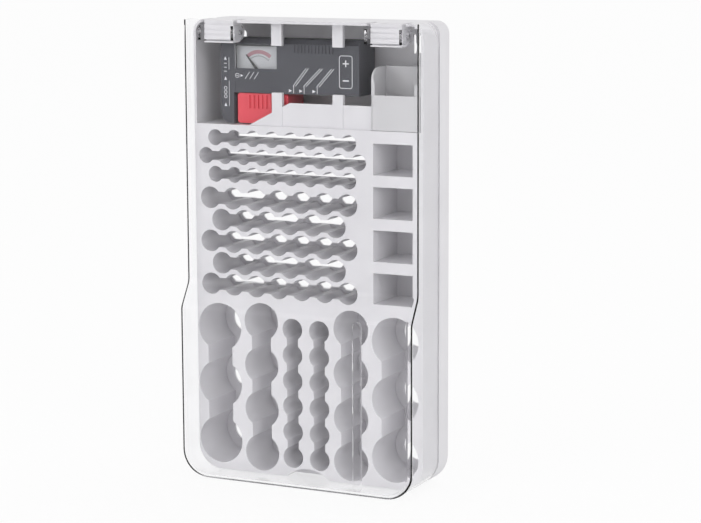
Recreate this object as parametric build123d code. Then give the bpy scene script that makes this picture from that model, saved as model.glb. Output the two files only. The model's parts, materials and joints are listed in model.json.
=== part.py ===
from build123d import *
import math
import os

# Battery organiser: a white tray of cell pockets behind a clear hinged cover, with a meter-type
# tester clipped into a bay at the top. Millimetres. +Z up, the cover faces -Y, and the origin is
# under the middle of the case. The case is shown upright and shut.

# ---- Case and cover ----
CASE_W = 181.0          # over the cover's side walls
CASE_H = 327.5
UPPER_DEPTH = 54.2      # back of the tray to the front of the cover's upper part
LOWER_DEPTH = 65.0      # the same at the lower part, which takes the long cells
STEP_Z = 124.0          # where the deeper lower part ends
STEP_RISE = 17.0        # height of the sloping step above it
COVER_WALL = 1.6
COVER_EDGE_R = 3.6      # rounding of the cover's front edges
COVER_INNER_BEVEL = 1.4
COVER_COVERAGE = 37.6   # how far the side walls reach back from the upper front
CASE_CORNER_R = 20.0    # lower corners, seen from the front
TOP_CORNER_R = 9.0
REAR_ROUND_R = 23.0     # upper rear corner of the cover's side walls
STRAP_X = 50.0          # upright strap moulded on the cover's lower front
STRAP_W = 7.0
STRAP_RISE = 1.2
RUN_GAP = 0.4           # between the cover and the tray that it closes over

# ---- Tray ----
TRAY_DEPTH = 41.6       # deck face to the back
TRAY_WALL = 1.8
DECK_T = 1.8
FLOOR_T = 1.6
WEB = 1.5               # plastic left between a pocket and a cavity behind the deck
BAY_H = 72.0            # clear height of the tester's bay
TOP_WALL = 2.0

# ---- Cell pockets ----
NECK_SHARE = 0.57       # width of the neck between two cells, as a share of the cell's hole
AAA_R = 5.75
AAA_PITCH = 15.0
AAA_ROW_PITCH = 13.1
AAA_COUNTS = (8, 9, 8)
AAA_WINDOW_H = 6.2
AA_R = 7.85
AA_PITCH = 18.05
AA_ROW_PITCH = 15.6
AA_COUNTS = (7, 6, 7, 6, 7)
AA_WINDOW_W = 10.4       # floor window under one AA cell of a row
AA_WINDOW_H = 9.4
AA_WINDOW_CHAMFER = 2.6
AA_COLUMN_SLOT = 5.0
AAA_LEFT = 3.3          # deck's left side to the first hole of the longest rows
AA_LEFT = 4.1
ROW_TOP = 3.8           # shelf to the first row of holes
ROW_BLOCK_GAP = 17.1    # last AAA row's centres to the first AA row's
D_R = 17.3
D_PITCH = 41.4
C_R = 13.45
C_PITCH = 31.9
AA_COLUMN_PITCH = 18.6
D_COUNT, C_COUNT, AA_COLUMN_COUNT = 3, 4, 6
D_X, C_X, AA_X = 69.0, 35.4, 10.55     # columns either side of their middle
COLUMN_SHIFT = -1.2     # the columns' middle, from the case's middle
D_FOOT, C_FOOT, AA_FOOT = 4.7, 2.0, 6.6     # tray's lower edge to the lowest hole
LARGE_WINDOW_SHARE = 0.6    # floor hole under a D or C cell, as a share of its pocket
NINE_W = 29.6
NINE_H = 22.0
NINE_PITCH = 30.1
NINE_COUNT = 4
NINE_RIGHT = 7.2        # case's right side of the deck to the 9 V pockets
NINE_TOP = 8.7
NINE_SILL = 3.0         # ledge that carries the cell round its floor window
NINE_JAMB = 13.5        # ledge at the left of the floor window

# ---- Bay, clips, bin and hang holes ----
CLIP_X = 23.7
CLIP_W = 8.0
CLIP_T = 3.2
CLIP_LAP = 1.0          # how far a clip laps the tester's flat face
APRON_H = 16.5
APRON_SETBACK = 3.0     # deck face to the apron
APRON_LEFT, APRON_CREST = -46.0, -14.0      # foot and crest of its slanted end
SEAT_RIB_W = 3.0
SEAT_RIBS_X = (-58.0, -16.0, 26.0)
BIN_W = 37.0
BIN_DEPTH = 25.0
BIN_FRONT_H = 24.2
BIN_BACK_H = 42.8
BIN_WALL = 1.4
BIN_ROUND_R = 11.0
BIN_CORNER_R = 3.0
HANG_X = 69.5
HANG_DROP = 19.0        # case top to the centre of the hang hole's round end
HANG_R = 4.2
HANG_SLOT_R = 2.2
HANG_SLOT_RISE = 7.0
SCALLOP_W = 34.0        # finger scallop under the deck's lower edge
SCALLOP_H = 7.0
SCALLOP_DEPTH = 14.0

# ---- Hinge ----
BARREL_R = 7.0
BARREL_X = 64.5         # middle of each barrel
BARREL_W = 23.0
BARREL_SETBACK = 6.1    # cover's front to the barrel's front
GROOVE_W, GROOVE_D = 1.0, 0.6
GROOVE_COUNT, GROOVE_PITCH = 3, 3.6
SLOT_H, SLOT_D = 1.2, 3.0    # shadow slot near the barrel's lower edge
EAR_T = 2.2
EAR_R = 5.0
EAR_SIDE_GAP = 0.4
PIN_R = 1.5
PIN_CLEAR = 0.06

# ---- Tester ----
TESTER_LEFT = -70.0
TESTER_W = 108.5
TESTER_BODY_H = 37.7
TESTER_DEPTH = 27.0
TESTER_SETBACK = 6.0    # deck face to the tester's face
TESTER_WALL = 1.8
BEVEL_H = 3.0
BEVEL_D = 5.0
LEG_W = 10.4
LEG_H = 22.2
LEG_R = 8.0
SEAT_GAP = 0.3          # between pieces that rest on each other
FIT = 0.1               # round a pane or pad in its opening
WINDOW_W = 33.4
WINDOW_H = 17.4
WINDOW_INSET = 11.2     # tester's left side to the window
WINDOW_TOP = 0.3        # bevel to the window
WINDOW_T = 1.2
DIAL_T = 0.8
DIAL_SETBACK = 6.0
DIAL_LAP = 1.2
PIVOT_BELOW = 2.0       # needle's pivot below the window
NEEDLE_L = 15.0
NEEDLE_T = 0.5
NEEDLE_LIFT = 0.9       # needle to the dial behind it
NEEDLE_REST = 40.0      # degrees left of upright
SPINDLE_R = 0.8
COIL_W, COIL_H = 6.5, 5.4
COIL_L = 8.0
BRACKET_T = 1.2
MAGNET_W, MAGNET_H = 18.0, 15.0
MAGNET_GAP = 1.0        # coil's sweep to the magnet's pole faces
RECESS_W, RECESS_H, RECESS_D = 35.0, 8.0, 0.4     # shallow panel under the window
FLUTE_COUNT, FLUTE_PITCH, FLUTE_D = 12, 2.7, 0.6
FLUTE_LEFT = 58.5       # tester's left side to the first flute
SLIDER_W = 40.0
SLIDER_H = 21.2
SLIDER_DEPTH = 24.0
SLIDER_REST_GAP = 2.2   # leg to slider when it is pushed home
SLIDER_TRAVEL = 61.5
NECK_W, NECK_T = 14.0, 5.0
HEAD_W, HEAD_T, HEAD_H = 18.0, 12.0, 3.0
HEAD_GAP = 0.5
GRIP_COUNT, GRIP_PITCH, GRIP_RISE = 7, 3.4, 0.9
SLIDER_EDGE = 1.2
CONTACT_T = 0.5
STRIP_W = 4.0
CONTACT_W, CONTACT_H = 12.0, 12.0
BLADE_PITCH = 12.7      # between the contacts for a rectangular cell
BLADE_W, BLADE_H, BLADE_RISE = 6.0, 4.0, 0.8
RESISTOR_L, RESISTOR_W = 12.0, 5.0
RESISTOR_RISE = 8.0     # strip to the resistor above the slider's wiper
LEAD_T = 1.0

# ---- Places that follow from the sizes ----
TOTAL_DEPTH = LOWER_DEPTH + STRAP_RISE
BACK_Y = TOTAL_DEPTH / 2
DECK_Y = BACK_Y - TRAY_DEPTH
UPPER_Y = BACK_Y - UPPER_DEPTH
LOWER_Y = BACK_Y - LOWER_DEPTH
COVER_BACK_Y = UPPER_Y + COVER_COVERAGE
RIM_Y = COVER_BACK_Y + RUN_GAP
TRAY_HALF = CASE_W / 2 - COVER_WALL - RUN_GAP
TRAY_Z = COVER_WALL + RUN_GAP
BAY_TOP = CASE_H - TOP_WALL
SHELF_Z = BAY_TOP - BAY_H
FLOOR_Y = BACK_Y - FLOOR_T
TRAY_CORNER_R = CASE_CORNER_R - COVER_WALL - RUN_GAP
PIN_Y = UPPER_Y + BARREL_SETBACK + BARREL_R
PIN_Z = BAY_TOP - BARREL_R
TOP_FRONT_Y = PIN_Y - BARREL_R + SEAT_GAP

BIN_RIGHT = TRAY_HALF - TRAY_WALL - SEAT_GAP
BIN_LEFT = BIN_RIGHT - BIN_W
BIN_Z = SHELF_Z + SEAT_GAP

TESTER_Y = DECK_Y + TESTER_SETBACK
TESTER_BACK_Y = TESTER_Y + TESTER_DEPTH
TESTER_MID_Y = TESTER_Y + TESTER_DEPTH / 2
TESTER_RIGHT = TESTER_LEFT + TESTER_W
LEG_Z = SHELF_Z + SEAT_GAP
BODY_Z = LEG_Z + LEG_H
TESTER_TOP = BODY_Z + TESTER_BODY_H
LEG_RIGHT = TESTER_LEFT + LEG_W
WINDOW_X = TESTER_LEFT + WINDOW_INSET + WINDOW_W / 2
WINDOW_Z = TESTER_TOP - BEVEL_H - WINDOW_TOP - WINDOW_H / 2
NEEDLE_Z = WINDOW_Z - WINDOW_H / 2 - PIVOT_BELOW
DIAL_Y = TESTER_Y + DIAL_SETBACK
SLIDER_X = LEG_RIGHT + SLIDER_REST_GAP + SLIDER_W / 2
SLIDER_TOP = BODY_Z - HEAD_GAP
NECK_SLOT_LEFT = SLIDER_X - NECK_W / 2 - HEAD_GAP
NECK_SLOT_RIGHT = SLIDER_X + NECK_W / 2 + SLIDER_TRAVEL + HEAD_GAP
SLIDER_LEFT = SLIDER_X - SLIDER_W / 2
HEAD_Z = BODY_Z + TESTER_WALL + HEAD_GAP
STRIP_Y = TESTER_MID_Y + HEAD_T / 2 + 1.0
STRIP_Z = BODY_Z + TESTER_WALL
NEEDLE_Y = DIAL_Y - NEEDLE_LIFT - NEEDLE_T
COIL_Y = DIAL_Y + DIAL_T + 1.0
BRACKET_Y = COIL_Y + COIL_L + SEAT_GAP
BLADE_Y = TESTER_MID_Y + TESTER_DEPTH / 4
BLADES_Z = (BODY_Z - BLADE_PITCH / 2, BODY_Z + BLADE_PITCH / 2)


# ---- Helpers ----
def prism_y(face, y0, y1):
    """Front-view face (x, z) made solid from y0 back to y1."""
    plane = Plane((0, y1, 0), x_dir=(1, 0, 0), z_dir=(0, -1, 0))
    return extrude(plane * face, amount=y1 - y0)


def prism_x(face, x0, x1):
    """Side-view face (y, z) made solid from x0 to x1."""
    plane = Plane((x0, 0, 0), x_dir=(0, 1, 0), z_dir=(1, 0, 0))
    return extrude(plane * face, amount=x1 - x0)


def box(x0, x1, y0, y1, z0, z1):
    """Block between two corners."""
    return Pos((x0 + x1) / 2, (y0 + y1) / 2, (z0 + z1) / 2) * Box(x1 - x0, y1 - y0, z1 - z0)


def rod_x(r, x0, x1, y, z):
    return Pos((x0 + x1) / 2, y, z) * Rot(0, 90, 0) * Cylinder(r, x1 - x0)


def rect(x0, x1, z0, z1):
    return Pos((x0 + x1) / 2, (z0 + z1) / 2) * Rectangle(x1 - x0, z1 - z0)


def rounded(x0, x1, z0, z1, low_r, high_r):
    """Rectangle with one radius at its lower corners and another at its upper ones."""
    face = rect(x0, x1, z0, z1)
    face = fillet(face.vertices().filter_by(lambda v: v.Y < (z0 + z1) / 2), low_r)
    return fillet(face.vertices().filter_by(lambda v: v.Y > z1 - 0.01), high_r)


def chain(count, pitch, r, neck, upright=False):
    """Row of holes joined by necks, its first hole at the origin, running right or downward."""
    face = Sketch()
    for i in range(count):
        face += Pos(0, -i * pitch) * Circle(r) if upright else Pos(i * pitch, 0) * Circle(r)
    length = (count - 1) * pitch
    if upright:
        return face + rect(-neck / 2, neck / 2, -length, 0)
    return face + rect(0, length, -neck / 2, neck / 2)


# ---- Pockets of the tray ----
def row_places(counts, pitch, row_pitch, first_x, top_z):
    """First hole (x, z) and number of holes of each row; shorter rows start half a pitch in."""
    places = []
    for k, count in enumerate(counts):
        inset = 0 if count == max(counts) else pitch / 2
        places.append((first_x + inset, top_z - k * row_pitch, count))
    return places


AAA_TOP_Z = SHELF_Z - ROW_TOP - AAA_R
AA_TOP_Z = AAA_TOP_Z - (len(AAA_COUNTS) - 1) * AAA_ROW_PITCH - ROW_BLOCK_GAP
AAA_FIRST_X = -TRAY_HALF + AAA_LEFT + AAA_R
AA_FIRST_X = -TRAY_HALF + AA_LEFT + AA_R
AAA_ROWS = row_places(AAA_COUNTS, AAA_PITCH, AAA_ROW_PITCH, AAA_FIRST_X, AAA_TOP_Z)
AA_ROWS = row_places(AA_COUNTS, AA_PITCH, AA_ROW_PITCH, AA_FIRST_X, AA_TOP_Z)
LARGE_COLUMNS = ((D_COUNT, D_PITCH, D_R, D_FOOT, D_X), (C_COUNT, C_PITCH, C_R, C_FOOT, C_X))
AA_COLUMN = (AA_COLUMN_COUNT, AA_COLUMN_PITCH, AA_R, AA_FOOT, AA_X)
NINE_X1 = TRAY_HALF - NINE_RIGHT
NINE_X0 = NINE_X1 - NINE_W
NINE_TOPS = [SHELF_Z - NINE_TOP - k * NINE_PITCH for k in range(NINE_COUNT)]


def columns():
    """Upright chains of the lower part, on both sides of its middle."""
    found = []
    for count, pitch, r, foot, x in LARGE_COLUMNS + (AA_COLUMN,):
        first_z = TRAY_Z + foot + r + (count - 1) * pitch
        shape = chain(count, pitch, r, 2 * r * NECK_SHARE, upright=True)
        found += [Pos(COLUMN_SHIFT + side * x, first_z) * shape for side in (-1, 1)]
    return found


def pockets():
    found = [Pos(x, z) * chain(n, AAA_PITCH, AAA_R, 2 * AAA_R * NECK_SHARE) for x, z, n in AAA_ROWS]
    found += [Pos(x, z) * chain(n, AA_PITCH, AA_R, 2 * AA_R * NECK_SHARE) for x, z, n in AA_ROWS]
    found += columns()
    return found + [rect(NINE_X0, NINE_X1, top - NINE_H, top) for top in NINE_TOPS]


def row_windows(x, z, count):
    """Floor windows of one AA row: some cells share one, most have their own."""
    window = Rectangle(AA_WINDOW_W, AA_WINDOW_H)
    window = chamfer(window.vertices(), AA_WINDOW_CHAMFER)
    found = [Pos(x + i * AA_PITCH, z) * window for i in range(count)]
    shared = (0,) if count == max(AA_COUNTS) else range(1, count - 2, 2)
    half = AA_R * NECK_SHARE
    for i in shared:
        left = x + i * AA_PITCH
        found.append(rect(left, left + AA_PITCH, z - half, z + half))
    return found


def floor_windows():
    """Openings in the pocket floors, through which each cell is pushed out from behind."""
    found = []
    for x, z, n in AAA_ROWS:
        half = AAA_WINDOW_H / 2
        found.append(rect(x - half, x + (n - 1) * AAA_PITCH + half, z - half, z + half))
    for x, z, n in AA_ROWS:
        found += row_windows(x, z, n)
    for count, pitch, r, foot, x in LARGE_COLUMNS:
        for i in range(count):
            z = TRAY_Z + foot + r + i * pitch
            found += [Pos(COLUMN_SHIFT + side * x, z) * Circle(r * LARGE_WINDOW_SHARE) for side in (-1, 1)]
    low = TRAY_Z + AA_FOOT + AA_R
    for side in (-1, 1):
        x = COLUMN_SHIFT + side * AA_X
        half = AA_COLUMN_SLOT / 2
        high = low + (AA_COLUMN_COUNT - 1) * AA_COLUMN_PITCH
        found.append(rect(x - half, x + half, low - half, high + half))
    for top in NINE_TOPS:
        low, high = top - NINE_H + NINE_SILL, top - NINE_SILL
        found.append(rect(NINE_X0 + NINE_JAMB, NINE_X1 - NINE_SILL, low, high))
    return found


def neck_cores():
    """Cavities moulded from behind into the webs beside the necks of the large columns."""
    found = []
    for count, pitch, r, foot, x in LARGE_COLUMNS:
        near = r * NECK_SHARE + 2 * WEB
        half = pitch / 2 - math.sqrt((r + WEB) ** 2 - near**2)
        for i in range(count - 1):
            z = TRAY_Z + foot + r + (i + 0.5) * pitch
            for centre in (COLUMN_SHIFT - x, COLUMN_SHIFT + x):
                found.append(rect(centre - r, centre - near, z - half, z + half))
                found.append(rect(centre + near, centre + r, z - half, z + half))
    return found


def rear_cores():
    """Cavities moulded from behind, which keep the plastic between the pockets thin."""
    found = neck_cores()
    for top in NINE_TOPS[:-1]:
        found.append(rect(NINE_X0, NINE_X1, top - NINE_PITCH + WEB, top - NINE_H - WEB))
    right = AA_ROWS[0][0] + (max(AA_COUNTS) - 1) * AA_PITCH + AA_R + WEB
    low = AA_ROWS[-1][1] - AA_R
    found.append(rect(right, NINE_X0 - WEB, low, AA_TOP_Z + AA_R))
    half = AA_X - AA_R - WEB
    high = TRAY_Z + AA_FOOT + AA_R + (AA_COLUMN_COUNT - 1) * AA_COLUMN_PITCH
    found.append(rect(COLUMN_SHIFT - half, COLUMN_SHIFT + half, TRAY_Z + AA_FOOT + AA_R, high))
    return found


# ---- Tray ----
def tray_outline(inset=0.0):
    top = BAY_TOP if inset else CASE_H
    return rounded(-TRAY_HALF + inset, TRAY_HALF - inset, TRAY_Z + inset, top,
                   TRAY_CORNER_R - inset, TOP_CORNER_R - inset)


def hang_hole(x):
    """Keyhole in the back of the bay: a round end and a slot above it."""
    z = CASE_H - HANG_DROP
    face = Pos(x, z) * Circle(HANG_R)
    face += Pos(x, z + HANG_SLOT_RISE) * Circle(HANG_SLOT_R)
    return face + rect(x - HANG_SLOT_R, x + HANG_SLOT_R, z, z + HANG_SLOT_RISE)


def scallop():
    """Front view of the finger scallop at the tray's lower edge."""
    radius = (SCALLOP_W**2 / 4 + SCALLOP_H**2) / (2 * SCALLOP_H)
    disc = Pos(0, TRAY_Z + SCALLOP_H - radius) * Circle(radius)
    return disc & rect(-SCALLOP_W, SCALLOP_W, TRAY_Z - 1, TRAY_Z + 2 * SCALLOP_H)


def ear_spans(x, gap=0.0):
    """The two x ranges that the cover's ears take beside a barrel, widened by gap."""
    near = BARREL_W / 2 + EAR_SIDE_GAP - gap
    far = BARREL_W / 2 + EAR_SIDE_GAP + EAR_T + gap
    return [(x - far, x - near), (x + near, x + far)]


def make_barrel(x):
    """Hinge block under the top wall: round behind, with grooves and a slot across its flat front."""
    x0, x1 = x - BARREL_W / 2, x + BARREL_W / 2
    front, low = PIN_Y - BARREL_R, PIN_Z - BARREL_R
    body = rod_x(BARREL_R, x0, x1, PIN_Y, PIN_Z)
    body += box(x0, x1, front, PIN_Y, low, BAY_TOP)
    body += box(x0, x1, PIN_Y, PIN_Y + BARREL_R, PIN_Z, BAY_TOP)
    for k in range(GROOVE_COUNT):
        z = PIN_Z + (k - 0.5) * GROOVE_PITCH
        body -= box(x0 - 1, x1 + 1, front - 1, front + GROOVE_D, z, z + GROOVE_W)
    body -= box(x0 - 1, x1 + 1, front - 1, front + SLOT_D, low + GROOVE_W, low + GROOVE_W + SLOT_H)
    return body - rod_x(PIN_R, x0 - 1, x1 + 1, PIN_Y, PIN_Z)


def make_top_wall():
    """Wall over the bay, notched where the cover's ears swing."""
    half = TRAY_HALF - TOP_CORNER_R
    wall = box(-half, half, TOP_FRONT_Y, DECK_Y + 1, BAY_TOP, CASE_H)
    for side in (-1, 1):
        wall += make_barrel(side * BARREL_X)
    return wall


def ear_notches():
    found = []
    for side in (-1, 1):
        for x0, x1 in ear_spans(side * BARREL_X, EAR_SIDE_GAP):
            found.append(box(x0, x1, TOP_FRONT_Y - 1, PIN_Y + BARREL_R + SEAT_GAP, PIN_Z, CASE_H + 1))
    return found


def make_bay_fittings():
    """Clips and ribs that hold the tester, and the apron along the front of the shelf."""
    apron = make_face(Polyline((APRON_LEFT, SHELF_Z), (APRON_CREST, SHELF_Z + APRON_H),
                               (BIN_LEFT - SEAT_GAP, SHELF_Z + APRON_H), (BIN_LEFT - SEAT_GAP, SHELF_Z),
                               close=True))
    front = DECK_Y + APRON_SETBACK
    fittings = prism_y(apron, front, front + DECK_T)
    back = TESTER_Y - SEAT_GAP
    for x in (-CLIP_X, CLIP_X):
        x0, x1 = x - CLIP_W / 2, x + CLIP_W / 2
        fittings += box(x0, x1, back - CLIP_T, back, TESTER_TOP - CLIP_LAP - BEVEL_H, BAY_TOP)
        fittings += box(x0, x1, back - CLIP_T, back, SHELF_Z, BODY_Z + CLIP_LAP)
    for x in SEAT_RIBS_X:
        fittings += box(x, x + SEAT_RIB_W, TESTER_BACK_Y + SEAT_GAP, FLOOR_Y, BODY_Z, TESTER_TOP)
    return fittings


def make_tray():
    outline = tray_outline()
    below_shelf = outline & rect(-TRAY_HALF, TRAY_HALF, 0, SHELF_Z)
    bay_back = outline - below_shelf
    bay_walls = bay_back - tray_outline(TRAY_WALL)
    cells = pockets()
    tray = prism_y(below_shelf - cells + bay_walls, DECK_Y, DECK_Y + DECK_T)
    tray += prism_y(below_shelf - cells - rear_cores() + bay_walls, DECK_Y + DECK_T, FLOOR_Y)
    bay_back -= [hang_hole(side * HANG_X) for side in (-1, 1)]
    tray += prism_y(below_shelf - floor_windows() - rear_cores() + bay_back, FLOOR_Y, BACK_Y)
    rim = rounded(-CASE_W / 2, CASE_W / 2, 0, CASE_H, CASE_CORNER_R, TOP_CORNER_R)
    tray += prism_y(rim - tray_outline(TRAY_WALL / 2), RIM_Y, BACK_Y)
    tray += [make_top_wall(), make_bay_fittings()]
    tray -= ear_notches()
    return tray - prism_y(scallop(), DECK_Y - 1, DECK_Y + SCALLOP_DEPTH)


# ---- Bin for button cells ----
def make_bin():
    """Open cup whose sides rise in a quarter round from its low front to its tall back."""
    plan = Pos((BIN_LEFT + BIN_RIGHT) / 2, DECK_Y + BIN_DEPTH / 2) * Rectangle(BIN_W, BIN_DEPTH)
    plan = fillet(plan.vertices().filter_by(lambda v: v.Y < DECK_Y + BIN_DEPTH / 2), BIN_CORNER_R)
    cup = extrude(Pos(0, 0, BIN_Z) * plan, amount=BIN_BACK_H)
    cup -= extrude(Pos(0, 0, BIN_Z + BIN_WALL) * offset(plan, amount=-BIN_WALL), amount=BIN_BACK_H)
    low, high = BIN_Z + BIN_FRONT_H, BIN_Z + BIN_BACK_H
    inside_y = DECK_Y + BIN_WALL
    above = rect(DECK_Y - 1, inside_y, low, high + 1)
    above += rect(inside_y - 0.1, inside_y + BIN_ROUND_R, high - BIN_ROUND_R, high + 1)
    above -= Pos(inside_y + BIN_ROUND_R, high - BIN_ROUND_R) * Circle(BIN_ROUND_R)
    return cup - prism_x(above, BIN_LEFT - 1, BIN_RIGHT + 1)


# ---- Cover ----
def cover_profile(inset, back_y, top_z):
    """Side view of the cover, deeper below the step."""
    lower, upper = LOWER_Y + inset, UPPER_Y + inset
    face = make_face(Polyline((lower, inset), (back_y, inset), (back_y, top_z), (upper, top_z),
                              (upper, STEP_Z + STEP_RISE), (lower, STEP_Z), close=True))
    return fillet([v for v in face.vertices() if STEP_Z - 1 < v.Y < STEP_Z + STEP_RISE + 1], STEP_RISE / 2)


def cover_block(inset, back_y, top_z):
    """Solid inside the cover's outer surface, or inside its inner one with an inset."""
    block = prism_x(cover_profile(inset, back_y, top_z), -CASE_W / 2 + inset, CASE_W / 2 - inset)
    corners = [e for e in block.edges().filter_by(Axis.Y) if e.center().Z < inset + 0.1]
    return fillet(corners, CASE_CORNER_R - inset)


def front_edges(block):
    """Edges round the flat lower front, which run on up over the step."""
    front = block.faces().filter_by(Axis.Y).sort_by(Axis.Y)[0]
    return [e for e in front.edges() if e.center().Z < STEP_Z - 1]


def make_strap():
    """Flat-topped strap with round ends, moulded on the lower front."""
    face = rounded(STRAP_X - STRAP_W / 2, STRAP_X + STRAP_W / 2, COVER_EDGE_R, STEP_Z,
                   STRAP_W / 2 - 0.1, STRAP_W / 2 - 0.1)
    strap = prism_y(face, LOWER_Y - STRAP_RISE, LOWER_Y + COVER_WALL / 2)
    return chamfer(strap.faces().sort_by(Axis.Y)[0].edges(), STRAP_RISE * 0.7)


def make_ears():
    """Four ears behind the cover's top edge, which turn on the hinge pins."""
    ear = rect(UPPER_Y + COVER_WALL / 2, PIN_Y, PIN_Z - EAR_R, PIN_Z + EAR_R)
    ear += Pos(PIN_Y, PIN_Z) * Circle(EAR_R)
    ear -= Pos(PIN_Y, PIN_Z) * Circle(PIN_R + PIN_CLEAR)
    spans = ear_spans(-BARREL_X) + ear_spans(BARREL_X)
    return [prism_x(ear, x0, x1) for x0, x1 in spans]


def make_cover():
    outside = cover_block(0.0, COVER_BACK_Y, CASE_H)
    inside = cover_block(COVER_WALL, COVER_BACK_Y + 5, CASE_H + 5)
    cover = fillet(front_edges(outside), COVER_EDGE_R)
    cover -= chamfer(front_edges(inside), COVER_INNER_BEVEL)
    centre = (COVER_BACK_Y - REAR_ROUND_R, CASE_H - REAR_ROUND_R)
    rear = rect(centre[0], COVER_BACK_Y + 1, centre[1], CASE_H + 1) - Pos(*centre) * Circle(REAR_ROUND_R)
    cover -= prism_x(rear, -CASE_W, CASE_W)
    return cover + [make_strap()] + make_ears()


def make_pin(side):
    reach = BARREL_W / 2 + EAR_SIDE_GAP + EAR_T + SEAT_GAP
    return rod_x(PIN_R, side * BARREL_X - reach, side * BARREL_X + reach, PIN_Y, PIN_Z)


# ---- Tester housing ----
def tester_face(inset=0.0):
    """Front outline: a bar with a leg at its left that stands on the shelf."""
    left, right = TESTER_LEFT + inset, TESTER_RIGHT - inset
    bottom, top = LEG_Z + inset, TESTER_TOP - inset
    leg, sill = LEG_RIGHT - inset, BODY_Z + inset
    face = make_face(Polyline((left, bottom), (leg, bottom), (leg, sill), (right, sill),
                              (right, top), (left, top), close=True))
    corner = [v for v in face.vertices() if v.X < left + 0.1 and v.Y < bottom + 0.1]
    return fillet(corner, LEG_R - inset)


def neck_slot():
    """Gap along the underside of the housing that the slider's neck runs in."""
    half = NECK_T / 2 + HEAD_GAP
    return box(NECK_SLOT_LEFT, NECK_SLOT_RIGHT, TESTER_MID_Y - half, TESTER_MID_Y + half,
               BODY_Z - 1, BODY_Z + TESTER_WALL + 1)


def bevel_wedge(inset):
    """What the bevel along the top front edge takes off, for the outer or the inner surface."""
    front, top = TESTER_Y + inset, TESTER_TOP - inset
    wedge = make_face(Polyline((front - 5, top - BEVEL_H), (front, top - BEVEL_H), (front + BEVEL_D, top),
                               (front + BEVEL_D, top + 5), (front - 5, top + 5), close=True))
    return prism_x(wedge, TESTER_LEFT - 1, TESTER_RIGHT + 1)


def make_front_shell():
    shell = prism_y(tester_face(), TESTER_Y, TESTER_MID_Y) - bevel_wedge(0)
    hollow = prism_y(tester_face(TESTER_WALL), TESTER_Y + TESTER_WALL, TESTER_MID_Y)
    shell -= hollow - bevel_wedge(TESTER_WALL)
    left, low = WINDOW_X - WINDOW_W / 2, WINDOW_Z - WINDOW_H / 2
    shell -= box(left, left + WINDOW_W, TESTER_Y - 1, TESTER_Y + TESTER_WALL + 1, low, low + WINDOW_H)
    shell -= box(left, left + RECESS_W, TESTER_Y - 1, TESTER_Y + RECESS_D, BODY_Z - 1, BODY_Z + RECESS_H)
    for k in range(FLUTE_COUNT):
        x = TESTER_LEFT + FLUTE_LEFT + k * FLUTE_PITCH
        top = TESTER_TOP - BEVEL_H
        shell -= box(x, x + FLUTE_PITCH / 2, TESTER_Y - 1, TESTER_Y + FLUTE_D, top - 2 * BEVEL_H, top + 1)
    return shell - neck_slot()


def make_back_shell():
    shell = prism_y(tester_face(), TESTER_MID_Y, TESTER_BACK_Y)
    shell = chamfer(shell.faces().sort_by(Axis.Y)[-1].outer_wire().edges(), TESTER_WALL / 2)
    shell -= prism_y(tester_face(TESTER_WALL), TESTER_MID_Y, TESTER_BACK_Y - TESTER_WALL)
    for z in BLADES_Z:
        shell -= box(TESTER_LEFT - 1, TESTER_LEFT + TESTER_WALL, BLADE_Y - BLADE_W / 2,
                     BLADE_Y + BLADE_W / 2, z - BLADE_H / 2, z + BLADE_H / 2)
    return shell - neck_slot()


# ---- Meter ----
def make_window():
    """Clear pane with a flange that the front shell holds from inside."""
    left, right = WINDOW_X - WINDOW_W / 2, WINDOW_X + WINDOW_W / 2
    low, high = WINDOW_Z - WINDOW_H / 2, WINDOW_Z + WINDOW_H / 2
    seat = TESTER_Y + TESTER_WALL + FIT
    pane = box(left + FIT, right - FIT, TESTER_Y + 2 * FIT, seat, low + FIT, high - FIT)
    return pane + box(left - DIAL_LAP, right + DIAL_LAP, seat, seat + WINDOW_T, low - DIAL_LAP,
                      high - TESTER_WALL)


def make_dial():
    """Scale plate with a notch that the needle's spindle comes through."""
    half = WINDOW_W / 2 + DIAL_LAP
    plate = box(WINDOW_X - half, WINDOW_X + half, DIAL_Y, DIAL_Y + DIAL_T, NEEDLE_Z - 3,
                WINDOW_Z + WINDOW_H / 2 - TESTER_WALL)
    notch = 2 * SPINDLE_R
    return plate - box(WINDOW_X - notch, WINDOW_X + notch, DIAL_Y - 1, DIAL_Y + 5, NEEDLE_Z - 5,
                       NEEDLE_Z + notch)


def make_needle():
    """Tapered pointer with a counterweight tail, lying towards the scale's left end."""
    blade = make_face(Polyline((-1.1, 0), (-0.25, NEEDLE_L), (0.25, NEEDLE_L), (1.1, 0), (1.5, -3),
                               (-1.5, -3), close=True))
    blade = Pos(WINDOW_X, NEEDLE_Z) * Rot(0, 0, NEEDLE_REST) * blade
    return prism_y(blade, NEEDLE_Y, NEEDLE_Y + NEEDLE_T)


def make_spindle():
    """Shaft from the needle through the coil to the bearing in the bracket."""
    length = BRACKET_Y + BRACKET_T - NEEDLE_Y - NEEDLE_T
    shaft = Cylinder(SPINDLE_R, length)
    return Pos(WINDOW_X, NEEDLE_Y + NEEDLE_T + length / 2, NEEDLE_Z) * Rot(90, 0, 0) * shaft


def spindle_hole(radius):
    hole = Cylinder(radius, 4 * TESTER_DEPTH)
    return Pos(WINDOW_X, TESTER_MID_Y, NEEDLE_Z) * Rot(90, 0, 0) * hole


def make_coil():
    """Moving coil on a flat former that is fixed to the spindle."""
    coil = box(WINDOW_X - COIL_W / 2, WINDOW_X + COIL_W / 2, COIL_Y, COIL_Y + COIL_L,
               NEEDLE_Z - COIL_H / 2, NEEDLE_Z + COIL_H / 2)
    return coil - spindle_hole(SPINDLE_R)


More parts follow.
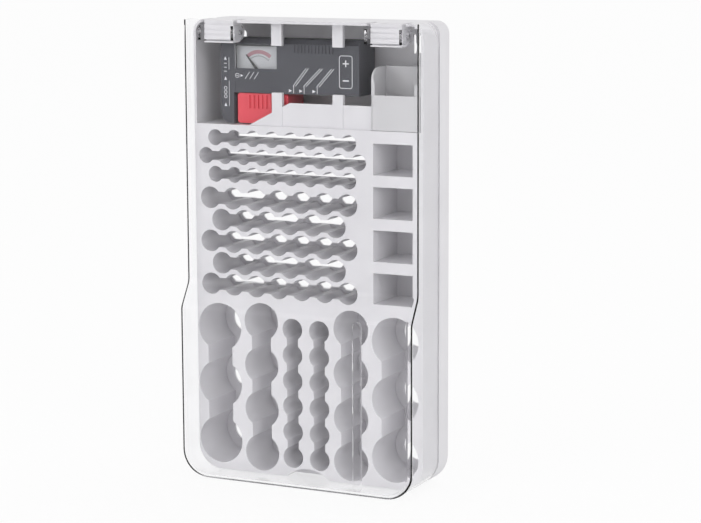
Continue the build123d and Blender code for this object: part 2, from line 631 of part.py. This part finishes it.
def make_magnet():
    """Fixed magnet frame round the coil."""
    magnet = box(WINDOW_X - MAGNET_W / 2, WINDOW_X + MAGNET_W / 2, COIL_Y, COIL_Y + COIL_L,
                 NEEDLE_Z - MAGNET_H / 2, NEEDLE_Z + MAGNET_H / 2)
    half = math.hypot(COIL_W, COIL_H) / 2 + MAGNET_GAP
    return magnet - box(WINDOW_X - half, WINDOW_X + half, COIL_Y - 1, COIL_Y + COIL_L + 1,
                        NEEDLE_Z - half, NEEDLE_Z + half)


def make_bracket():
    """Plate behind the magnet with the spindle's bearing, on two feet at the back shell."""
    low, high = NEEDLE_Z - MAGNET_H / 2, NEEDLE_Z + MAGNET_H / 2
    half = MAGNET_W / 2
    plate = box(WINDOW_X - half, WINDOW_X + half, BRACKET_Y, BRACKET_Y + BRACKET_T, low, high)
    for x0, x1 in ((-half, -half + 3), (half - 3, half)):
        plate += box(WINDOW_X + x0, WINDOW_X + x1, BRACKET_Y, TESTER_BACK_Y - TESTER_WALL, low, high)
    return plate - spindle_hole(SPINDLE_R + PIN_CLEAR)


# ---- Contacts and slider ----
def contact_pad(x0, x1):
    half_w, half_h = CONTACT_W / 2, CONTACT_H / 2
    z = LEG_Z + LEG_H / 2
    return box(x0, x1, TESTER_MID_Y - half_w, TESTER_MID_Y + half_w, z - half_h, z + half_h)


def make_blades():
    """Two contacts through the housing's left side for a rectangular cell."""
    found = []
    for z in BLADES_Z:
        found.append(box(TESTER_LEFT - BLADE_RISE, TESTER_LEFT + TESTER_WALL,
                         BLADE_Y - BLADE_W / 2, BLADE_Y + BLADE_W / 2, z - BLADE_H / 2, z + BLADE_H / 2))
    return found


def make_slider():
    """Block with finger ribs, hung by a neck and head from the slot under the housing."""
    x0, x1 = SLIDER_X - SLIDER_W / 2, SLIDER_X + SLIDER_W / 2
    front, back = TESTER_MID_Y - SLIDER_DEPTH / 2, TESTER_MID_Y + SLIDER_DEPTH / 2
    slider = box(x0, x1, front, back, SLIDER_TOP - SLIDER_H, SLIDER_TOP)
    slider = chamfer(slider.edges().filter_by(Axis.Y), SLIDER_EDGE)
    for k in range(GRIP_COUNT):
        x = SLIDER_X + (k - GRIP_COUNT / 2) * GRIP_PITCH
        slider += box(x, x + GRIP_PITCH / 2, front - GRIP_RISE, front,
                      SLIDER_TOP - SLIDER_H / 2, SLIDER_TOP - SLIDER_EDGE)
    slider += box(SLIDER_X - NECK_W / 2, SLIDER_X + NECK_W / 2, TESTER_MID_Y - NECK_T / 2,
                  TESTER_MID_Y + NECK_T / 2, SLIDER_TOP - 1, HEAD_Z + 1)
    return slider + box(SLIDER_X - HEAD_W / 2, SLIDER_X + HEAD_W / 2, TESTER_MID_Y - HEAD_T / 2,
                        TESTER_MID_Y + HEAD_T / 2, HEAD_Z, HEAD_Z + HEAD_H)


def make_strip():
    """Metal rail along the housing's floor, behind the slider's head."""
    return box(NECK_SLOT_LEFT, NECK_SLOT_RIGHT, STRIP_Y, STRIP_Y + STRIP_W, STRIP_Z, STRIP_Z + CONTACT_T)


def make_wiper():
    """Leaf on the slider's head that reaches back and down to the strip."""
    x0, x1 = SLIDER_X - NECK_W / 4, SLIDER_X + NECK_W / 4
    top, end = HEAD_Z + HEAD_H, STRIP_Y + STRIP_W / 2
    leaf = box(x0, x1, TESTER_MID_Y, end, top, top + CONTACT_T)
    return leaf + box(x0, x1, end - CONTACT_T, end, STRIP_Z + CONTACT_T + SEAT_GAP, top + CONTACT_T)


def make_resistor():
    """Load resistor against the back shell, on two leads from the strip's rear edge."""
    x = WINDOW_X + MAGNET_W / 2 + RESISTOR_L
    y, z = TESTER_BACK_Y - TESTER_WALL - SEAT_GAP, STRIP_Z + CONTACT_T + RESISTOR_RISE
    body = box(x, x + RESISTOR_L, y - RESISTOR_W, y, z, z + RESISTOR_W)
    back = STRIP_Y + STRIP_W
    for lead_x in (x + LEAD_T, x + RESISTOR_L - 2 * LEAD_T):
        body += box(lead_x, lead_x + LEAD_T, back - LEAD_T, back, z - RESISTOR_RISE, z + LEAD_T)
    return body


# ---- Write one file per piece ----
PIECES = {
    "pocket_tray": make_tray(),
    "cell_bin": make_bin(),
    "cover": make_cover(),
    "hinge_pin_left": make_pin(-1),
    "hinge_pin_right": make_pin(1),
    "tester_front_shell": make_front_shell(),
    "tester_back_shell": make_back_shell(),
    "meter_window": make_window(),
    "dial_plate": make_dial(),
    "needle": make_needle(),
    "needle_spindle": make_spindle(),
    "moving_coil": make_coil(),
    "meter_magnet": make_magnet(),
    "meter_bracket": make_bracket(),
    "leg_contact": contact_pad(LEG_RIGHT, LEG_RIGHT + CONTACT_T),
    "slider": make_slider(),
    "slider_contact": contact_pad(SLIDER_LEFT - CONTACT_T, SLIDER_LEFT),
    "slider_wiper": make_wiper(),
    "contact_strip": make_strip(),
    "load_resistor": make_resistor(),
    "cell_blades": Compound(children=make_blades()),
}

os.makedirs("parts", exist_ok=True)
for name, shape in PIECES.items():
    solids = shape.solids()
    piece = solids[0] if len(solids) == 1 else Compound(children=list(solids))
    export_step(piece, f"parts/{name}.step")
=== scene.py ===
# %% [markdown]
# A storage case for battery cells: a white moulded tray full of round pockets, a bay with a small
# meter tester at the top, and a clear cover that swings up on two hinge pins. The shapes come from
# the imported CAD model. This file gives them their finishes, adds the thin printed marks that a CAD
# model leaves out, and sets up the light, the floor and the camera.

# %% Load the model
import json
import math

import bpy
from mathutils import Matrix, Vector


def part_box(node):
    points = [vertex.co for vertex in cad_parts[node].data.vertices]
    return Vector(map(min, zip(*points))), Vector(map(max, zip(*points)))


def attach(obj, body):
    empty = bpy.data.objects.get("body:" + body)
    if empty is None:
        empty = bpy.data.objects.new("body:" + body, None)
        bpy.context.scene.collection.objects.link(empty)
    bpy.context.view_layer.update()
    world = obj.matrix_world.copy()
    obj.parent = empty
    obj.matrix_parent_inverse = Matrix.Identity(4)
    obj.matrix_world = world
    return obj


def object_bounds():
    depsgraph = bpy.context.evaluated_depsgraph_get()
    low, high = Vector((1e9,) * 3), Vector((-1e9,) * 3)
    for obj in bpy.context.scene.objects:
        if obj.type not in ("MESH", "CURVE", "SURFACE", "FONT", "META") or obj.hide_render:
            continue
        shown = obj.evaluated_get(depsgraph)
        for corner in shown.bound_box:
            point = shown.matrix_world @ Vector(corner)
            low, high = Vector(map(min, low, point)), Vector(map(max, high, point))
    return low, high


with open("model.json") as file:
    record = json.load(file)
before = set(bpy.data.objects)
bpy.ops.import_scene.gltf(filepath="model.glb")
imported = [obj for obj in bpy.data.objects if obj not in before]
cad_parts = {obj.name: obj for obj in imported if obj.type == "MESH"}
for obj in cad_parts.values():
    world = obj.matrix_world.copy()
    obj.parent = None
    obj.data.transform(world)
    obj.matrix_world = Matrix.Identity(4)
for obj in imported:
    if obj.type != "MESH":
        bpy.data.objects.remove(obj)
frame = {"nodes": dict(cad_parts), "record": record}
cad_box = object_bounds()
MM = 0.001
print("pieces of the model:", len(frame["nodes"]))

# %% [markdown]
# Every finish below starts as one Principled shader. Real mouldings are never one flat colour: the
# melt flows unevenly, the tool's surface is slightly rough, and the plastic shrinks a little over
# its ribs. Three small noise patterns do that here, one each for the tint, the gloss and the
# surface. They use object coordinates, so the grain has a real size in metres and needs no
# unwrapping.

# %% A bare material to start from
def new_material(name):
    """New node material: itself, its nodes, its links and its Principled shader."""
    material = bpy.data.materials.new(name)
    material.use_nodes = True
    nodes = material.node_tree.nodes
    shader = nodes["Principled BSDF"]
    return material, nodes, material.node_tree.links, shader


print("helper: new_material")

# %% [markdown]
# Raw noise sits mostly between 0.3 and 0.7, so it is spread out before it drives anything. A stretch
# along one axis turns round patches into streaks, which is what drawn and rolled metal shows.

# %% Noise and its range
NOISE_LOW, NOISE_HIGH = 0.3, 0.7


def noise(nodes, links, scale, detail=3.0, stretch=(1.0, 1.0, 1.0)):
    """Noise in object coordinates, stretched along the axes for drawn or brushed surfaces."""
    place = nodes.new("ShaderNodeTexCoord")
    mapping = nodes.new("ShaderNodeMapping")
    mapping.inputs["Scale"].default_value = stretch
    texture = nodes.new("ShaderNodeTexNoise")
    texture.inputs["Scale"].default_value = scale
    texture.inputs["Detail"].default_value = detail
    links.new(place.outputs["Object"], mapping.inputs["Vector"])
    links.new(mapping.outputs["Vector"], texture.inputs["Vector"])
    return texture.outputs["Fac"]


def spread(nodes, links, value, low, high):
    """The middle of the noise's range stretched out between two numbers."""
    ranged = nodes.new("ShaderNodeMapRange")
    ranged.inputs["From Min"].default_value = NOISE_LOW
    ranged.inputs["From Max"].default_value = NOISE_HIGH
    ranged.inputs["To Min"].default_value = low
    ranged.inputs["To Max"].default_value = high
    links.new(value, ranged.inputs["Value"])
    return ranged.outputs["Result"]


print("noise is spread out from", NOISE_LOW, "to", NOISE_HIGH)

# %% Varied tint and gloss, and fine relief
def varied(nodes, links, shader, dark, light, tint_scale, gloss, gloss_scale, stretch=(1.0, 1.0, 1.0)):
    """Tint between two colours and roughness between two numbers, each by its own noise."""
    tint = nodes.new("ShaderNodeMix")
    tint.data_type = "RGBA"
    tint.inputs["A"].default_value = (*dark, 1.0)
    tint.inputs["B"].default_value = (*light, 1.0)
    cloud = noise(nodes, links, tint_scale, 4.0, stretch)
    links.new(spread(nodes, links, cloud, 0.0, 1.0), tint.inputs["Factor"])
    links.new(tint.outputs["Result"], shader.inputs["Base Color"])
    grain = noise(nodes, links, gloss_scale, 3.0, stretch)
    links.new(spread(nodes, links, grain, *gloss), shader.inputs["Roughness"])


def grained(nodes, links, shader, scale, depth, strength, stretch=(1.0, 1.0, 1.0)):
    """Fine relief, its depth in metres."""
    bump = nodes.new("ShaderNodeBump")
    bump.inputs["Strength"].default_value = strength
    bump.inputs["Distance"].default_value = depth
    links.new(noise(nodes, links, scale, 2.0, stretch), bump.inputs["Height"])
    links.new(bump.outputs["Normal"], shader.inputs["Normal"])


print("helpers: varied, grained")

# %% [markdown]
# The tray is injection-moulded in a white styrene-type plastic with a faint violet-grey cast, and
# a satin surface that spreads its highlights. The bin beside the tester is a separate moulding in
# the same white, but its colours are set greyer as painted shade for the shade that falls into the
# bay. The two share one recipe and differ only in their numbers, so the bin is a shaded copy.

# %% White mouldings, the bin's darkened as painted shade
CLOUDS, GLOSS_PATCHES, GRAIN = 38.0, 260.0, 900.0     # noise scales: features of 26, 4 and 1 mm


def moulded(name, dark, light, gloss, grain_depth=0.00003, level=0.45):
    """Plastic between two colours and two roughnesses; level sets how strongly it reflects."""
    material, nodes, links, shader = new_material(name)
    varied(nodes, links, shader, dark, light, CLOUDS, gloss, GLOSS_PATCHES)
    grained(nodes, links, shader, GRAIN, grain_depth, 0.25)
    shader.inputs["IOR"].default_value = 1.5
    shader.inputs["Specular IOR Level"].default_value = level
    return material


tray_white = moulded("tray_white", (0.72, 0.71, 0.735), (0.76, 0.75, 0.775), (0.36, 0.48))
# Painted shade: the bin's white is set darker than the tray's to stand in for the shade in the bay.
bin_white = moulded("bin_white", (0.58, 0.575, 0.59), (0.62, 0.615, 0.63), (0.34, 0.46))
print("mouldings:", tray_white.name, bin_white.name)

# %% [markdown]
# The cover is a clear styrene moulding. It is a closed solid with an inner and an outer skin, so
# one refracting shader draws the lines where its walls turn a corner. Styrene's real index is about
# 1.59. A lower one is used here, so that those lines stay thin. Sheet also looks grey where it is
# seen along its length, so the colour darkens as the surface turns away. Lamps cannot be traced
# back through glass, so a Light Path node gives shadow rays a plain filter.

# %% Clear plastics
HAZE_SCALE, WAVE_SCALE, WAVE_DEPTH = 120.0, 22.0, 0.0004
EDGE_POWER = 4.0     # how late the colour turns from face-on to edge-on
COVER_INDEX, WINDOW_INDEX = 1.22, 1.4


def clear_plastic(name, ior, gloss, face_on, edge_on):
    """Refracting shader whose colour darkens as the surface turns away from the view."""
    material, nodes, links, shader = new_material(name)
    shader.inputs["Transmission Weight"].default_value = 1.0
    shader.inputs["IOR"].default_value = ior
    haze = noise(nodes, links, HAZE_SCALE, 3.0, (1.0, 1.0, 0.4))
    links.new(spread(nodes, links, haze, *gloss), shader.inputs["Roughness"])
    grained(nodes, links, shader, WAVE_SCALE, WAVE_DEPTH, 0.05)
    turned_away = nodes.new("ShaderNodeLayerWeight")
    turned_away.inputs["Blend"].default_value = 0.5
    edge = nodes.new("ShaderNodeMath")
    edge.operation = "POWER"
    edge.inputs[1].default_value = EDGE_POWER
    shade = nodes.new("ShaderNodeMix")
    shade.data_type = "RGBA"
    shade.inputs["A"].default_value = (*face_on, 1.0)
    shade.inputs["B"].default_value = (*edge_on, 1.0)
    links.new(turned_away.outputs["Facing"], edge.inputs[0])
    links.new(edge.outputs["Value"], shade.inputs["Factor"])
    links.new(shade.outputs["Result"], shader.inputs["Base Color"])
    lamp_side = nodes.new("ShaderNodeBsdfTransparent")
    lamp_side.inputs["Color"].default_value = (*face_on, 1.0)
    swap = nodes.new("ShaderNodeMixShader")
    path = nodes.new("ShaderNodeLightPath")
    links.new(path.outputs["Is Shadow Ray"], swap.inputs["Fac"])
    links.new(shader.outputs["BSDF"], swap.inputs[1])
    links.new(lamp_side.outputs["BSDF"], swap.inputs[2])
    links.new(swap.outputs["Shader"], nodes["Material Output"].inputs["Surface"])
    return material


cover_clear = clear_plastic("cover_clear", COVER_INDEX, (0.0, 0.04), (0.985, 0.985, 0.99), (0.72, 0.72, 0.73))
window_clear = clear_plastic("window_clear", WINDOW_INDEX, (0.0, 0.04), (0.96, 0.975, 0.98), (0.4, 0.42, 0.44))
print("clear plastics:", cover_clear.name, window_clear.name)

# %% [markdown]
# The tester's housing is dark grey ABS from a spark-eroded tool, which leaves an even, very fine
# pebble grain and almost no gloss. The slider under it is a plain satin red. The grain is far
# smaller than a pixel here, so it works mostly by breaking up the highlights.

# %% Coloured mouldings
tester_grey = moulded("tester_grey", (0.074, 0.075, 0.087), (0.092, 0.093, 0.107), (0.55, 0.66),
                      0.00006, 0.3)
slider_red = moulded("slider_red", (0.70, 0.05, 0.075), (0.80, 0.07, 0.10), (0.34, 0.44), 0.00002)
ceramic = moulded("ceramic", (0.52, 0.49, 0.43), (0.60, 0.57, 0.50), (0.7, 0.85), 0.0001, 0.3)
print("coloured mouldings:", tester_grey.name, slider_red.name, ceramic.name)

# %% [markdown]
# Metals get their colour from Base Color and Metallic 1, and their look from the direction of the
# marks on them. A small stretch along X draws the noise out into long streaks along X: strong on
# the drawn pins, softer on the rolled brass of the contacts, and none on the magnet.

# %% Metals
METAL_CLOUDS = 90.0


def metal(name, dark, light, gloss, stretch, scale=700.0):
    """Metallic shader; stretch gives the direction of its marks and scale their fineness."""
    material, nodes, links, shader = new_material(name)
    shader.inputs["Metallic"].default_value = 1.0
    varied(nodes, links, shader, dark, light, METAL_CLOUDS, gloss, scale, stretch)
    grained(nodes, links, shader, scale, 0.00002, 0.2, stretch)
    return material


DRAWN, ROLLED, WOUND, EVEN = (0.06, 1.0, 1.0), (0.2, 1.0, 1.0), (0.1, 1.0, 1.0), (1.0, 1.0, 1.0)
steel = metal("steel", (0.50, 0.50, 0.51), (0.62, 0.62, 0.63), (0.22, 0.38), DRAWN)
brass = metal("brass", (0.72, 0.53, 0.25), (0.84, 0.66, 0.36), (0.20, 0.34), ROLLED)
coil_copper = metal("coil_copper", (0.62, 0.28, 0.15), (0.78, 0.40, 0.24), (0.25, 0.4), WOUND, 1500.0)
magnet_dark = metal("magnet_dark", (0.10, 0.10, 0.11), (0.16, 0.16, 0.17), (0.45, 0.65), EVEN, 1200.0)
print("metals:", steel.name, brass.name, coil_copper.name, magnet_dark.name)

# %% [markdown]
# The dial is a white plate and the needle is lacquered black. Both sit behind the window, where
# only broad differences show, so a gentle variation is enough. The inks are flat and matt, as
# screen ink is on plastic.

# %% Card, lacquer and inks
dial_white = moulded("dial_white", (0.70, 0.69, 0.71), (0.76, 0.745, 0.77), (0.55, 0.7), 0.00002, 0.3)
needle_black = moulded("needle_black", (0.012, 0.012, 0.013), (0.025, 0.025, 0.027), (0.25, 0.35), 0.00001)
white_ink = moulded("white_ink", (0.70, 0.71, 0.73), (0.78, 0.79, 0.81), (0.5, 0.65), 0.00001, 0.3)
grey_ink = moulded("grey_ink", (0.24, 0.24, 0.26), (0.30, 0.30, 0.32), (0.5, 0.65), 0.00001, 0.3)
rose_ink = moulded("rose_ink", (0.52, 0.25, 0.29), (0.60, 0.32, 0.36), (0.5, 0.65), 0.00001, 0.3)
print("card and inks:", dial_white.name, needle_black.name, white_ink.name, rose_ink.name)

# %% [markdown]
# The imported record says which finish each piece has. Reading that list, rather than repeating it,
# means that a piece added to the model later cannot be forgotten.

# %% Put the finishes on the model's pieces
FINISHES = {
    "tray_white": tray_white,
    "bin_white": bin_white,
    "cover_clear": cover_clear,
    "window_clear": window_clear,
    "tester_grey": tester_grey,
    "slider_red": slider_red,
    "ceramic": ceramic,
    "steel": steel,
    "brass": brass,
    "coil_copper": coil_copper,
    "magnet_dark": magnet_dark,
    "dial_white": dial_white,
    "needle_black": needle_black,
}
for part in frame["record"]["subparts"]:
    piece = frame["nodes"][part["node"]]
    if not piece.material_slots:
        piece.data.materials.append(None)
    for place in piece.material_slots:
        place.material = FINISHES[part["material_slot"]]

# %% [markdown]
# The marks on the tester are screen-printed: flat shapes of ink a twentieth of a millimetre
# proud. Each is drawn here as flat outlines in the front plane, x to the right and z up, and given
# that small thickness. Real geometry keeps crisp edges at any zoom and needs no picture.

# %% Flat shapes for printed marks
def stroke(points, width):
    """Band of the given width along a run of points, one four-sided piece for each step."""
    shapes = []
    for (x0, z0), (x1, z1) in zip(points, points[1:]):
        length = math.hypot(x1 - x0, z1 - z0)
        nx, nz = -(z1 - z0) / length * width / 2, (x1 - x0) / length * width / 2
        shapes.append([(x0 - nx, z0 - nz), (x1 - nx, z1 - nz), (x1 + nx, z1 + nz), (x0 + nx, z0 + nz)])
    return shapes


def arc(x, z, radius, start, end, steps=24):
    """Points along an arc, its angles in degrees counted from +X."""
    angles = [math.radians(start + (end - start) * k / steps) for k in range(steps + 1)]
    return [(x + radius * math.cos(a), z + radius * math.sin(a)) for a in angles]


def arrow(x, z, size, angle):
    """Solid triangle that points along the angle."""
    turn = math.radians(angle)
    corners = [(size, 0.0), (-size * 0.6, -size * 0.75), (-size * 0.6, size * 0.75)]
    spun = [(x + a * math.cos(turn) - b * math.sin(turn), z + a * math.sin(turn) + b * math.cos(turn))
            for a, b in corners]
    return [spun]


print("helpers: stroke, arc, arrow")

# %% [markdown]
# Each flat shape becomes a shallow prism: its outline once in front of the surface and once just
# behind it, with a strip of side faces between. The outline is turned the same way round first, so
# that every face looks outwards. Sinking the back into the plastic leaves no gap to see light in.

# %% Turn flat shapes into a thin piece of ink
INK_PROUD = 0.05


def printed(name, shapes, y, ink, body="tray"):
    """Thin solid on the plane y, its front proud by INK_PROUD. All sizes in millimetres."""
    points, faces = [], []
    for shape in shapes:
        first, count = len(points), len(shape)
        area = sum(a[0] * b[1] - b[0] * a[1] for a, b in zip(shape, shape[1:] + shape[:1]))
        ring = shape if area > 0 else shape[::-1]
        points += [(x * MM, (y - INK_PROUD) * MM, z * MM) for x, z in ring]
        points += [(x * MM, (y + INK_PROUD / 2) * MM, z * MM) for x, z in ring]
        faces.append([first + k for k in range(count)])
        faces.append([first + count + k for k in reversed(range(count))])
        for k in range(count):
            after = (k + 1) % count
            faces.append([first + after, first + k, first + count + k, first + count + after])
    mesh = bpy.data.meshes.new(name)
    mesh.from_pydata(points, [], faces)
    mesh.materials.append(ink)
    piece = bpy.data.objects.new(name, mesh)
    bpy.context.scene.collection.objects.link(piece)
    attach(piece, body)
    print(f"{name}: {len(shapes)} shapes")
    return piece


# %% [markdown]
# Guide marks on the tester's front lead the eye to where a cell is held: three pairs of slanted
# lines, each turning down into one line with an arrowhead beside it at the lower edge. All places
# are in millimetres from the middle of the case and from its base.

# %% Guide marks on the tester's front
FACE_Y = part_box("tester_front_shell")[0][1] / MM
GUIDES = ((-2.4, -12.7), (8.5, -4.5), (17.3, 5.7))     # x at the top and at the bend
TOP_Z, BEND_Z, FOOT_Z, ARROW_Z = 294.4, 281.6, 276.6, 278.4
PAIR_GAP, GUIDE_LINE, ARROW_SIZE = 1.9, 0.42, 1.6
marks = []
for top_x, bend_x in GUIDES:
    for shift in (0.0, PAIR_GAP):
        marks += stroke([(top_x + shift, TOP_Z), (bend_x + shift, BEND_Z)], GUIDE_LINE)
    marks += stroke([(bend_x + 0.5, BEND_Z), (bend_x + 0.5, FOOT_Z)], 0.4)
    marks += arrow(bend_x - 2.3, ARROW_Z, ARROW_SIZE, 0.0)
guide_marks = printed("guide_marks", marks, FACE_Y, white_ink)

# %% [markdown]
# Under the meter's window are a small ring with a bar in it, an arrowhead, and three slanted
# strokes, all in the same white ink and all at one height.

# %% Marks under the meter
RING_X, RING_Z, RING_R, BAR_HALF = -56.8, 287.9, 1.5, 0.8
SLANTS, SLANT_LOW, SLANT_HIGH, SLANT_LEAN = (-50.6, -47.0, -43.4), 285.6, 290.6, 3.6
marks = stroke(arc(RING_X, RING_Z, RING_R, 0.0, 360.0), 0.35)
marks += stroke([(RING_X - BAR_HALF, RING_Z), (RING_X + BAR_HALF, RING_Z)], 0.35)
marks += arrow(-53.4, RING_Z, 1.3, 0.0)
for x in SLANTS:
    marks += stroke([(x, SLANT_LOW), (x + SLANT_LEAN, SLANT_HIGH)], 0.38)
meter_marks = printed("meter_marks", marks, FACE_Y, white_ink)

# %% [markdown]
# Down the leg runs a column of arrowheads, bars and rings, with a thin rule beside it in two
# parts. The rings are closed arcs of sixteen steps, which is plenty at two millimetres across.

# %% Marks down the leg
LEG_X, RULE_X = -66.3, -63.4
BAR_REACH, LEG_RING_R = 1.1, 1.1
marks = stroke([(RULE_X, 300.5), (RULE_X, 292.0)], 0.3) + stroke([(RULE_X, 284.0), (RULE_X, 266.0)], 0.3)
for z in (299.6, 285.4, 266.8):
    marks += arrow(LEG_X, z, 1.5, 90.0)
for z in (296.2, 293.4, 290.6):
    marks += stroke([(LEG_X - BAR_REACH, z), (LEG_X + BAR_REACH, z)], 0.45)
for z in (278.8, 275.8, 272.8):
    marks += stroke(arc(LEG_X, z, LEG_RING_R, 0.0, 360.0, 16), 0.42)
leg_marks = printed("leg_marks", marks, FACE_Y, white_ink)

# %% [markdown]
# At the right of the tester's front is a tall outline with rounded corners, printed as a thin frame
# round a plus and a minus sign, which tell which way round a cell goes.

# %% Polarity panel
def rounded_outline(x0, x1, z0, z1, radius):
    """Points round a rectangle with rounded corners."""
    corners = ((x1 - radius, z1 - radius, 0.0), (x0 + radius, z1 - radius, 90.0),
               (x0 + radius, z0 + radius, 180.0), (x1 - radius, z0 + radius, 270.0))
    points = []
    for x, z, start in corners:
        points += arc(x, z, radius, start, start + 90.0, 6)
    return points + points[:1]


PANEL_X, PLUS_Z, MINUS_Z = 28.3, 298.4, 286.6
SIGN_HALF, SIGN_LINE = 2.3, 0.9
marks = stroke(rounded_outline(23.4, 33.2, 281.4, 303.8, 1.6), 0.45)
for sign_z in (PLUS_Z, MINUS_Z):
    marks += stroke([(PANEL_X - SIGN_HALF, sign_z), (PANEL_X + SIGN_HALF, sign_z)], SIGN_LINE)
marks += stroke([(PANEL_X, PLUS_Z + SIGN_HALF), (PANEL_X, PLUS_Z - SIGN_HALF)], SIGN_LINE)
polarity_panel = printed("polarity_panel", marks, FACE_Y, white_ink)

# %% [markdown]
# The meter's card carries a broad rose band over a thin grey scale with ticks, both centred on the
# needle's pivot. Taking the centre from the spindle's own box keeps the scale true to the needle.

# %% Scale on the dial
low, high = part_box("needle_spindle")
PIVOT_X, PIVOT_Z = (low[0] + high[0]) / 2 / MM, (low[2] + high[2]) / 2 / MM
DIAL_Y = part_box("dial_plate")[0][1] / MM
BAND_R, BAND_W, SCALE_R = 13.6, 2.6, 10.6
TICKS, FIRST_TICK, TICK_STEP, LONG_TICK_R, SHORT_TICK_R = 11, 46.0, 8.8, 11.9, 11.3
band = stroke(arc(PIVOT_X, PIVOT_Z, BAND_R, 48.0, 132.0), BAND_W)
rose_band = printed("rose_band", band, DIAL_Y, rose_ink)
ticks = stroke(arc(PIVOT_X, PIVOT_Z, SCALE_R, 44.0, 136.0), 0.35)
for k in range(TICKS):
    angle = math.radians(FIRST_TICK + TICK_STEP * k)
    across, up = math.cos(angle), math.sin(angle)
    reach = LONG_TICK_R if k % 5 == 0 else SHORT_TICK_R
    ticks += stroke([(PIVOT_X + r * across, PIVOT_Z + r * up) for r in (SCALE_R, reach)], 0.3)
scale_ticks = printed("scale_ticks", ticks, DIAL_Y, grey_ink)

# %% [markdown]
# The case stands on a wide pale floor. The floor takes the case's shadow, but for rays that come
# from the camera, a mirror or clear plastic most of its colour is plain white, so that the
# background reads as white without any extra light on the case.

# %% Which rays see plain white
def share_of_plain_rays(nodes, links):
    """1 for rays from the camera, off a gloss or through clear plastic, otherwise 0."""
    path = nodes.new("ShaderNodeLightPath")
    total = path.outputs["Is Camera Ray"]
    for name in ("Is Glossy Ray", "Is Transmission Ray"):
        joined = nodes.new("ShaderNodeMath")
        joined.operation = "MAXIMUM"
        links.new(total, joined.inputs[0])
        links.new(path.outputs[name], joined.inputs[1])
        total = joined.outputs["Value"]
    return total


print("helper: share_of_plain_rays")

# %% Floor
FLOOR_HALF, FLOOR_DROP, WHITE_SHARE = 12.0, 0.0002, 0.9     # metres, metres, part of 1
floor_mesh = bpy.data.meshes.new("floor")
corners = [(-FLOOR_HALF, -FLOOR_HALF, 0), (FLOOR_HALF, -FLOOR_HALF, 0),
           (FLOOR_HALF, FLOOR_HALF, 0), (-FLOOR_HALF, FLOOR_HALF, 0)]
floor_mesh.from_pydata(corners, [], [(0, 1, 2, 3)])
floor = bpy.data.objects.new("floor", floor_mesh)
bpy.context.scene.collection.objects.link(floor)
floor.location.z = cad_box[0][2] - FLOOR_DROP
floor_paint, nodes, links, shader = new_material("floor_paint")
shader.inputs["Base Color"].default_value = (0.93, 0.93, 0.93, 1.0)
shader.inputs["Roughness"].default_value = 0.9
shader.inputs["Specular IOR Level"].default_value = 0.1
glow = nodes.new("ShaderNodeEmission")
blend = nodes.new("ShaderNodeMixShader")
part_white = nodes.new("ShaderNodeMath")
part_white.operation = "MULTIPLY"
part_white.inputs[1].default_value = WHITE_SHARE
links.new(share_of_plain_rays(nodes, links), part_white.inputs[0])
links.new(part_white.outputs["Value"], blend.inputs["Fac"])
links.new(shader.outputs["BSDF"], blend.inputs[1])
links.new(glow.outputs["Emission"], blend.inputs[2])
links.new(blend.outputs["Shader"], nodes["Material Output"].inputs["Surface"])
floor_mesh.materials.append(floor_paint)
print("floor at", round(floor.location.z, 5))

# %% [markdown]
# The world is an even white all round, a little below full strength for the light it gives and at
# full strength for rays that see it directly, so the picture stays white beyond the floor's edge.

# %% World light
world = bpy.data.worlds.new("studio")
bpy.context.scene.world = world
world.use_nodes = True
nodes, links = world.node_tree.nodes, world.node_tree.links
sky = nodes["Background"]
sky.inputs["Color"].default_value = (1.0, 1.0, 1.0, 1.0)
SOFT_LEVEL = 0.85
level = nodes.new("ShaderNodeMapRange")
level.inputs["To Min"].default_value = SOFT_LEVEL
level.inputs["To Max"].default_value = 1.0
links.new(share_of_plain_rays(nodes, links), level.inputs["Value"])
links.new(level.outputs["Result"], sky.inputs["Strength"])
print("world level", SOFT_LEVEL)

# %% [markdown]
# Two large soft boxes give the form: a key high at the left, which leaves the pockets' left walls
# in their own shade, and a slightly weaker one at the right for the clear cover's side. Large lamps
# keep the shadows soft, as in a product photograph.

# %% Soft boxes
def soft_box(name, place, aim, size, power):
    """Square lamp that faces its aim; places and size in metres, power in watts."""
    lamp = bpy.data.lights.new(name, "AREA")
    lamp.shape = "SQUARE"
    lamp.size = size
    lamp.energy = power
    holder = bpy.data.objects.new(name, lamp)
    bpy.context.scene.collection.objects.link(holder)
    holder.location = place
    holder.rotation_euler = (Vector(aim) - Vector(place)).to_track_quat("-Z", "Y").to_euler()
    return holder


MIDDLE = (0.0, 0.0, 0.16)     # what both lamps point at
key = soft_box("key_light", (-1.3, -2.3, 0.95), MIDDLE, 1.6, 9.0)
side = soft_box("side_light", (2.0, -1.2, 0.9), MIDDLE, 1.4, 8.0)
print("soft boxes:", key.name, side.name)

# %% [markdown]
# The camera stands about a metre and a half away, twenty-five degrees round to the right and a
# little above. Its place and angles were found by matching points of the case to the photograph.
# The lens is long, so the verticals stay nearly parallel.

# %% Camera
TURN, LOOK_DOWN, ROLL = math.radians(25.634), math.radians(9.298), math.radians(-0.22)
STAND, LENS, SENSOR = (0.68499, -1.36497, 0.40784), 112.45, 36.0
view = bpy.data.cameras.new("view")
view.lens = LENS
view.sensor_width = SENSOR
view.clip_end = 50.0
camera = bpy.data.objects.new("view", view)
bpy.context.scene.collection.objects.link(camera)
tilt = math.radians(90.0) - LOOK_DOWN
turned = Matrix.Rotation(TURN, 4, "Z") @ Matrix.Rotation(tilt, 4, "X") @ Matrix.Rotation(ROLL, 4, "Z")
camera.matrix_world = Matrix.Translation(STAND) @ turned
bpy.context.scene.camera = camera
bpy.context.scene.view_settings.view_transform = "Standard"
print("camera looks along", [round(v, 3) for v in turned.to_3x3() @ Vector((0, 0, -1))])
